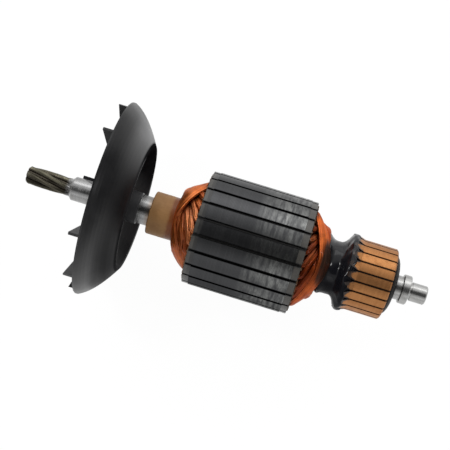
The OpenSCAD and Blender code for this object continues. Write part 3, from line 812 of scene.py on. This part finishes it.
def stack_material():
    """Stacked sheet steel under a thin dark varnish: a line for every sheet, a painted reflection as a
    brighter patch over its rear half, and painted shade at and in the slots and underneath.
    """
    material, tree, shader, place = new_material("core_sheets", Metallic=1.0)
    sheets = tree.times(place["Along"], SHEETS_IN_MM)
    within = tree.math("FRACT", sheets)
    gap = tree.math("PINGPONG", within, 0.5)
    joint = tree.between(gap, 0.0, 0.16)
    tone = tree.node("TexWhiteNoise", {"W": tree.math("FLOOR", sheets)}, noise_dimensions="1D").outputs[0]
    band = noise(tree, place, 0.5, 3.0, 0.6, (1.0, 0.05, 0.05))
    cloud = noise(tree, place, 0.09, 4.0, 0.6)
    colour = tree.mix(tone, (0.046, 0.047, 0.050, 1), (0.062, 0.063, 0.066, 1))
    colour = tree.mix(band, colour, (0.078, 0.079, 0.081, 1))
    colour = tree.lay(colour, (0.036, 0.036, 0.037, 1), cloud, 0.4)
    # Painted reflection: a brighter, mottled and streaked patch over the rear half, weaker at one angle round
    # the stack.
    reflection_mottle = patches(tree, place, 0.22, 0.52, 0.12)
    reflection_streaks = noise(tree, place, 0.5, 3.0, 0.6, (1.7, 0.3, 0.3))
    rear_half = tree.between(place["Along"], STACK_START + 17.0, STACK_START + 19.0)
    turned = tree.math("WRAP", tree.math("SUBTRACT", place["Angle"], WEAK_REFLECTION_ANGLE), math.pi, -math.pi)
    turned = tree.math("ABSOLUTE", turned)
    side = tree.between(turned, 0.9, 0.3, 1.0, 0.85)
    to_end = tree.between(place["Along"], STACK_START + 19.0, STACK_END - 6.0, 0.45, 1.0)
    bright = tree.math("MULTIPLY_ADD", reflection_mottle, 0.6, 0.4)
    bright = tree.times(bright, tree.times(rear_half, to_end))
    bright = tree.times(bright, tree.between(reflection_streaks, 0.3, 0.68))
    bright = tree.times(bright, side)
    colour = tree.lay(colour, (0.27, 0.275, 0.265, 1), bright, 0.75)
    # Painted shade: the specular tint is dimmer underneath, so that it reflects less there.
    under = tree.between(plain_place(tree)[1], -12.0, -20.0)
    tree.put(shader["Specular Tint"], tree.mix(under, (0.95, 0.95, 0.95, 1), (0.45, 0.45, 0.45, 1)))
    pitch = pitch_place(tree, place)
    # Painted shade: the edges of the slot openings are darkened, which widens them.
    lip = tree.between(pitch["Distance"], 0.72, 0.52)
    colour = tree.lay(colour, (0.008, 0.008, 0.009, 1), lip, 0.92)
    # Painted shade: the surfaces inside the slots are darkened.
    inner = tree.between(place["Radius"], STACK_R - 0.12, STACK_R - 0.5)
    colour = tree.lay(colour, (0.012, 0.012, 0.014, 1), inner, 0.9)
    colour = tree.lay(colour, (0.03, 0.03, 0.033, 1), tree.math("SUBTRACT", 1.0, joint), 0.5)
    tree.put(shader["Base Color"], colour)
    rough = tree.math("MULTIPLY_ADD", band, 0.12, 0.27)
    tree.put(shader["Roughness"], tree.math("SUBTRACT", rough, tree.times(bright, 0.09)))
    height = tree.math("ADD", joint, tree.times(tone, 0.8))
    tree.put(shader["Normal"], tree.bump(height, 0.4, 0.02))
    return material


def board_material(name, dark, light, roughness, with_slot_shade=False):
    """Fibre board or paper soaked in varnish, mottled from a dark to a light colour, with painted slot shade
    or without.
    """
    material, tree, shader, place = new_material(name)
    fibre = noise(tree, place, 2.2, 5.0, 0.65)
    stain = patches(tree, place, 0.3, 0.5, 0.2)
    colour = tree.mix(fibre, dark, light)
    colour = tree.lay(colour, tuple(0.5 * c for c in dark[:3]) + (1,), stain, 0.4)
    # Painted shade of the slots on the end plates.
    if with_slot_shade:
        colour = slot_shade_and_dark_joint(tree, place, colour)
    tree.put(shader["Base Color"], colour)
    tree.put(shader["Roughness"], tree.math("MULTIPLY_ADD", stain, -0.15, roughness))
    tree.put(shader["Normal"], tree.bump(fibre, 0.4, 0.04))
    return material


def slot_shade_and_dark_joint(tree, place, colour):
    """Painted shade along the slots on the end plates, and the front one darker next to the stack."""
    pitch = pitch_place(tree, place)
    slot = tree.between(pitch["Distance"], 0.85, 0.6, 0.0, 0.92)
    from_joint = tree.math("ABSOLUTE", tree.math("SUBTRACT", place["Along"], STACK_START))
    joint = tree.between(from_joint, 1.4, 1.0, 0.0, 0.75)
    return tree.mix(tree.math("MAXIMUM", slot, joint), colour, (0.010, 0.010, 0.011, 1))


def wire_material():
    """Enamelled copper wire under dripped varnish, with painted shade in the valleys between wires, deep in
    the head and on its -Y side, and darker where the rear head meets the resin.
    """
    material, tree, shader, place = new_material("enamelled_wire", Coat_Roughness=0.14)
    keys = ("crown", "share", "tone")
    crown, share, tone = (tree.node("Attribute", attribute_name=key).outputs["Fac"] for key in keys)
    streak = noise(tree, place, 0.55, 5.0, 0.6)
    cloud = noise(tree, place, 0.2)
    colour = tree.mix(streak, (0.50, 0.105, 0.023, 1), (0.92, 0.27, 0.066, 1))
    colour = tree.mix(tree.between(cloud, 0.35, 0.7, 0.0, 0.6), colour, (0.32, 0.055, 0.014, 1))
    colour = tree.mix(tree.between(tone, 0.5, 0.1, 0.0, 0.6), colour, (0.22, 0.036, 0.009, 1))
    colour = tree.mix(tree.between(tone, 0.55, 0.95, 0.0, 0.6), colour, (0.98, 0.40, 0.17, 1))
    rear = tree.between(place["Along"], STACK_START + 12.0, STACK_START + 24.0, 0.0, 0.85)
    # Painted shade in the creases between wires, stronger at the rear head.
    crease_shade = tree.between(crown, 0.5, 0.0)
    crease_shade = tree.times(crease_shade, tree.between(rear, 0.0, 0.85, 0.3, 0.5))
    colour = tree.mix(crease_shade, colour, (0.07, 0.011, 0.003, 1))
    # Painted shade deep in the head and on the sides and underside of each bundle, read from the share.
    deep_shade = tree.between(share, 0.82, 0.42)
    deep_shade = tree.times(deep_shade, tree.between(rear, 0.0, 0.85, 0.5, 0.9))
    colour = tree.mix(deep_shade, colour, (0.050, 0.009, 0.003, 1))
    # Painted shade: the -Y side is darker.
    under = tree.between(place["Side"], 0.0, -9.0)
    colour = tree.lay(colour, (0.16, 0.028, 0.006, 1), under, 0.45)
    # Darker where the rear head meets the resin near the top, and black where the resin covers it.
    facing = tree.between(tree.math("ABSOLUTE", tree.math("ADD", place["Side"], 1.0)), 9.5, 5.5)
    darker_by_resin = tree.times(facing, tree.between(place["Along"], REAR_FACE + 4.2, REAR_FACE + 6.8))
    colour = tree.lay(colour, (0.09, 0.018, 0.007, 1), darker_by_resin, 0.75)
    covered = tree.times(facing, tree.between(place["Along"], REAR_FACE + 6.2, REAR_FACE + 6.8))
    colour = tree.lay(colour, (0.012, 0.012, 0.013, 1), covered, 0.95)
    tree.put(shader["Metallic"], tree.math("MULTIPLY_ADD", covered, -0.88, 0.88))
    pool = patches(tree, place, 0.28, 0.42, 0.12)
    colour = tree.lay(colour, (0.10, 0.022, 0.009, 1), pool, 0.45)
    colour = tree.mix(rear, colour, (1.0, 0.72, 0.5, 1), "MULTIPLY")
    tree.put(shader["Base Color"], colour)
    tree.put(shader["Coat Weight"], tree.between(rear, 0.0, 0.85, 0.3, 0.16))
    tree.put(shader["Specular Tint"], (0.85, 0.45, 0.28, 1))
    tree.put(shader["Roughness"], tree.math("MULTIPLY_ADD", streak, 0.2, 0.33))
    tree.put(shader["Normal"], tree.bump(noise(tree, place, 1.5, 4.0), 0.35, 0.05))
    return material


def resin_material():
    """Black varnished resin, glossy and uneven, with painted sheen that is stronger on the +Y side."""
    material, tree, shader, place = new_material("black_resin", Coat_Roughness=0.06)
    cloud = noise(tree, place, 0.3, 4.0)
    colour = tree.mix(cloud, (0.003, 0.003, 0.0045, 1), (0.010, 0.010, 0.013, 1))
    tree.put(shader["Base Color"], colour)
    tree.put(shader["Roughness"], tree.math("MULTIPLY_ADD", cloud, 0.14, 0.24))
    # Painted sheen: specular and coat are stronger on the +Y side and weaker on the -Y side.
    tree.put(shader["Specular IOR Level"], tree.between(plain_place(tree)[1], -7.0, 5.0, 0.03, 0.12))
    tree.put(shader["Coat Weight"], tree.between(place["Side"], -7.5, -5.0, 0.04, 0.42))
    tree.put(shader["Normal"], tree.bump(noise(tree, place, 0.4, 1.0), 0.3, 0.25))
    return material


def bar_material():
    """Turned copper of the brush track, with dark edges along the gaps, and a dark resin film between the
    hooks that also stands in for the shade of the resin pockets.
    """
    material, tree, shader, place = new_material("turned_copper", Metallic=1.0)
    lines = tree.group(LINES, {"Millimetres": place["Millimetres"], "Lines": 3.6})
    pitch = pitch_place(tree, place, BAR_PHASE)
    colour = tree.mix(lines["Streak"], (0.34, 0.138, 0.050, 1), (0.57, 0.278, 0.108, 1))
    tone = tree.times(pitch["Random"], 0.35)
    colour = tree.mix(tone, colour, (0.27, 0.112, 0.042, 1))
    edge = tree.between(pitch["Distance"], 0.55, 0.28)
    colour = tree.lay(colour, (0.06, 0.022, 0.009, 1), edge, 0.75)
    stain = patches(tree, place, 0.4, 0.42, 0.15)
    colour = tree.lay(colour, (0.26, 0.105, 0.040, 1), stain, 0.35)
    # Resin and painted shade: a dark film spreads from the pockets over the hooks, further by the gaps.
    ragged = noise(tree, place, 0.8, 3.0, 0.6)
    reach = tree.math("MULTIPLY_ADD", ragged, 3.0, BARS_START + 0.3)
    reach = tree.math("ADD", reach, tree.between(pitch["Distance"], 1.5, 0.35, 0.0, 1.6))
    resin_film_and_shade = tree.between(tree.math("SUBTRACT", place["Along"], reach), 0.6, -0.4)
    colour = tree.lay(colour, (0.010, 0.008, 0.008, 1), resin_film_and_shade, 0.96)
    tree.put(shader["Base Color"], colour)
    tree.put(shader["Metallic"], tree.math("SUBTRACT", 1.0, resin_film_and_shade))
    rough = tree.math("MULTIPLY_ADD", lines["Streak"], 0.14, 0.36)
    rough = tree.math("MULTIPLY_ADD", resin_film_and_shade, -0.15, rough)
    tree.put(shader["Roughness"], tree.math("MULTIPLY_ADD", stain, 0.1, rough))
    tree.put(shader["Normal"], tree.bump(lines["Height"], 0.4, 0.03))
    return material


def moulding_material():
    """Black phenolic moulding, with copper dust rubbed into it."""
    material, tree, shader, place = new_material("phenolic_moulding", Specular_IOR_Level=0.12)
    grain = noise(tree, place, 3.0, 4.0)
    dust = patches(tree, place, 0.5, 0.4, 0.15)
    colour = tree.mix(grain, (0.004, 0.004, 0.004, 1), (0.011, 0.010, 0.010, 1))
    colour = tree.lay(colour, (0.06, 0.03, 0.016, 1), dust, 0.15)
    tree.put(shader["Base Color"], colour)
    tree.put(shader["Roughness"], tree.math("MULTIPLY_ADD", grain, 0.2, 0.36))
    tree.put(shader["Normal"], tree.bump(grain, 0.35, 0.04))
    return material


def dress(material, *nodes):
    """Gives CAD nodes a material, in every one of their slots."""
    for name in nodes:
        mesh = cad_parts[name].data
        mesh.materials.clear()
        mesh.materials.append(material)


dress(steel_material(), "armature_shaft", "spacer_collar", "commutator_bush")
dress(fan_material(), "cooling_fan")
dress(sleeve_material(), "shaft_insulating_sleeve")
dress(stack_material(), "lamination_stack")
board = board_material("fibre_board", (0.044, 0.042, 0.038, 1), (0.086, 0.079, 0.069, 1), 0.42, with_slot_shade=True)
dress(board, "front_end_plate", "rear_end_plate")
paper = board_material("slot_paper", (0.10, 0.055, 0.026, 1), (0.22, 0.13, 0.065, 1), 0.5)
dress(paper, "slot_liners")
wedge = board_material("slot_wedge", (0.003, 0.003, 0.003, 1), (0.009, 0.008, 0.007, 1), 0.6)
dress(wedge, *[f"slot_wedge_{k:02d}" for k in range(1, SLOTS + 1)])
dress(bar_material(), *[f"commutator_bar_{k:02d}" for k in range(1, SLOTS + 1)])
dress(moulding_material(), "commutator_moulding")
resin = resin_material()
dress(resin, "lead_resin")
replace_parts(resin_over_leads(resin), "lead_resin")

wire = wire_material()
FRONT_HEAD = Head(
    FRONT_FACE - 0.4,
    -1,
    inner=((12.6, 0.0), (10.6, 3.6), (8.2, 4.4)),
    outer=((16.9, 0.2), (14.8, 7.9), (9.3, 8.8)),
    layers=(0.9, 3.0),
    last_lift=0.0,
    last_width=1.65,
    sweep=0.5,
    swell=0.16,
    seed=21,
)
REAR_HEAD = Head(
    REAR_FACE + 0.4,
    1,
    inner=((12.6, 0.0), (11.0, 3.2), (9.0, 4.4)),
    outer=((18.4, 0.2), (15.7, 4.1), (12.6, 7.8)),
    layers=(0.9, 3.3),
    last_lift=0.9,
    last_width=1.4,
    sweep=0.9,
    swell=0.05,
    seed=12,
)
front_winding = end_winding("front_end_winding", FRONT_HEAD, wire)
rear_winding = end_winding("rear_end_winding", REAR_HEAD, wire)
conductors = slot_copper(wire)
for winding in (front_winding, rear_winding, conductors):
    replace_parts(winding, "armature_winding")


# ---------- floor, light and camera ----------

FLOOR_LEVEL = cad_box[0][2]
# The way to the middle of the dark strip of sky: a little to the near side of overhead
DARK_STRIP = (0.0, -0.139, 0.990)


def studio_floor():
    """A pale floor that keeps the armature's shadow, and renders as white where nothing falls on it."""
    mesh = bpy.data.meshes.new("floor")
    reach, gap = 3.0, 0.0002
    corners = [(-reach, -reach), (reach, -reach), (reach, reach), (-reach, reach)]
    mesh.from_pydata([(x, y, FLOOR_LEVEL - gap) for x, y in corners], [], [(0, 1, 2, 3)])
    floor = bpy.data.objects.new("floor", mesh)
    bpy.context.scene.collection.objects.link(floor)
    material = bpy.data.materials.new("pale_floor")
    material.use_nodes = True
    material.node_tree.nodes.clear()
    tree = Tree(material.node_tree)
    paint = tree.node("BsdfDiffuse", {"Color": (0.82, 0.82, 0.82, 1)})
    white = tree.node("Emission", {"Color": (1, 1, 1, 1), "Strength": 1.04})
    seen = tree.node("LightPath").outputs
    shown = tree.math("ADD", seen["Is Camera Ray"], seen["Is Glossy Ray"])
    shown = tree.math("ADD", shown, seen["Is Transmission Ray"], clamp=True)
    share = tree.times(shown, 0.92)
    both = tree.node("MixShader", {0: share, 1: paint.outputs[0], 2: white.outputs[0]})
    tree.node("OutputMaterial", {"Surface": both.outputs[0]})
    mesh.materials.append(material)


def studio_world():
    """Soft light from a bright sky with a dark strip along the shaft, which metal shows as a dark band.

    The sky is brighter near the ground and on the +Y side, and darker beyond the commutator's end.
    """
    world = bpy.data.worlds.new("studio")
    bpy.context.scene.world = world
    world.use_nodes = True
    world.node_tree.nodes.clear()
    tree = Tree(world.node_tree)
    way = tree.node("TexCoord").outputs["Generated"]
    across = tree.node("VectorMath", {0: way, 1: (0, 1, 1)}, operation="MULTIPLY").outputs[0]
    across = tree.node("VectorMath", {0: across}, operation="NORMALIZE").outputs[0]
    towards_strip = tree.node("VectorMath", {0: across, 1: DARK_STRIP}, operation="DOT_PRODUCT").outputs[1]
    along, sideways, _ = tree.node("SeparateXYZ", {0: way}).outputs
    ring = tree.between(towards_strip, 0.966, 0.85, 0.05, 0.85)
    # Beyond the pinion's end the strip fades out
    ring = tree.math("MAXIMUM", ring, tree.between(along, -0.35, -0.65, 0.0, 0.6))
    low = tree.between(towards_strip, 0.6, 0.15, 1.0, 1.35)
    side = tree.math("MULTIPLY_ADD", sideways, 0.3, 1.0)
    end = tree.between(along, 0.35, 0.95, 1.0, 0.2)
    strength = tree.times(tree.times(ring, low), tree.times(side, end))
    light = tree.node("Background", {"Color": (1, 1, 1, 1), "Strength": strength})
    tree.node("OutputWorld", {"Surface": light.outputs[0]})


def soft_lamp(name, place, target, size, power):
    """A rectangular lamp at a place, facing a target. Places are in millimetres."""
    data = bpy.data.lights.new(name, "AREA")
    data.shape = "RECTANGLE"
    data.size, data.size_y = size[0] * MM, size[1] * MM
    data.energy = power
    lamp = bpy.data.objects.new(name, data)
    bpy.context.scene.collection.objects.link(lamp)
    place, target = Vector(place) * MM, Vector(target) * MM
    turn = (target - place).to_track_quat("-Z", "Y").to_matrix().to_4x4()
    lamp.matrix_world = Matrix.Translation(place) @ turn


def place_camera():
    """A camera above the armature, turned so that the commutator end comes lower in the frame."""
    elevation, roll = math.radians(81.5), math.radians(17.0)
    distance, lens = 388.0, 83.9
    foot = Vector((70.0, 0.0, 0.0))
    towards = Vector((0, -math.cos(elevation), math.sin(elevation)))
    upward = Vector((0, math.sin(elevation), math.cos(elevation)))
    middle = Vector((52.6, 0, 0)) + 3.4 * upward
    place = foot + distance * towards
    right = math.cos(roll) * Vector((1, 0, 0)) + math.sin(roll) * upward
    back = (place - middle).normalized()
    right = (right - right.dot(back) * back).normalized()
    up = back.cross(right)
    data = bpy.data.cameras.new("camera")
    data.lens = lens
    data.clip_start, data.clip_end = 0.01, 20.0
    camera = bpy.data.objects.new("camera", data)
    bpy.context.scene.collection.objects.link(camera)
    turn = Matrix((right, up, back)).transposed().to_4x4()
    camera.matrix_world = Matrix.Translation(place * MM) @ turn
    bpy.context.scene.camera = camera


studio_floor()
studio_world()
MIDDLE = (50.0, 0.0, 0.0)
soft_lamp("upper_lamp", (40.0, 560.0, 420.0), MIDDLE, (700.0, 260.0), 0.8)
soft_lamp("lower_lamp", (70.0, -620.0, 330.0), MIDDLE, (700.0, 260.0), 0.25)
soft_lamp("left_glint", (-330.0, 70.0, 560.0), (95.0, 0.0, 5.0), (120.0, 120.0), 1.0)
soft_lamp("right_glint", (430.0, 60.0, 420.0), (60.0, 0.0, 5.0), (70.0, 70.0), 0.35)
place_camera()
bpy.context.scene.view_settings.view_transform = "Standard"
